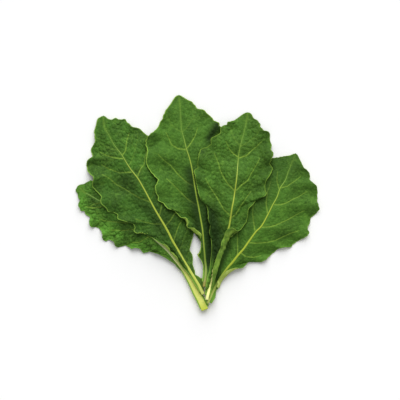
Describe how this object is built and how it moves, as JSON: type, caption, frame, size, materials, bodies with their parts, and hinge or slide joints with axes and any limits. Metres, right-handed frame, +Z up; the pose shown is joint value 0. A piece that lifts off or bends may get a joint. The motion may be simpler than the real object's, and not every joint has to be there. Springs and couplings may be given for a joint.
{
  "type": "bunch of lacinato kale",
  "caption": "Fan of broad, wavy-edged kale leaves lying flat over one another, with pale midribs and the cut stalks together at one end.",
  "frame": {"origin": "centre of the bounding box's bottom, on the surface that the bunch lies on", "axes": "+X across the fan, +Y from the cut stalks to the leaf tips, +Z up from the surface"},
  "size_m": [0.2926, 0.2592, 0.0171],
  "materials": {
    "leaf_green": "satin",
    "stalk_pale_green": "satin"
  },
  "bodies": {
    "root": {"leaf_1_blade": "leaf_green", "leaf_1_stalk": "stalk_pale_green", "leaf_2_blade": "leaf_green", "leaf_2_stalk": "stalk_pale_green", "leaf_3_blade": "leaf_green", "leaf_3_stalk": "stalk_pale_green", "leaf_4_blade": "leaf_green", "leaf_4_stalk": "stalk_pale_green", "leaf_5_blade": "leaf_green", "leaf_5_stalk": "stalk_pale_green"}
  },
  "joints": []
}
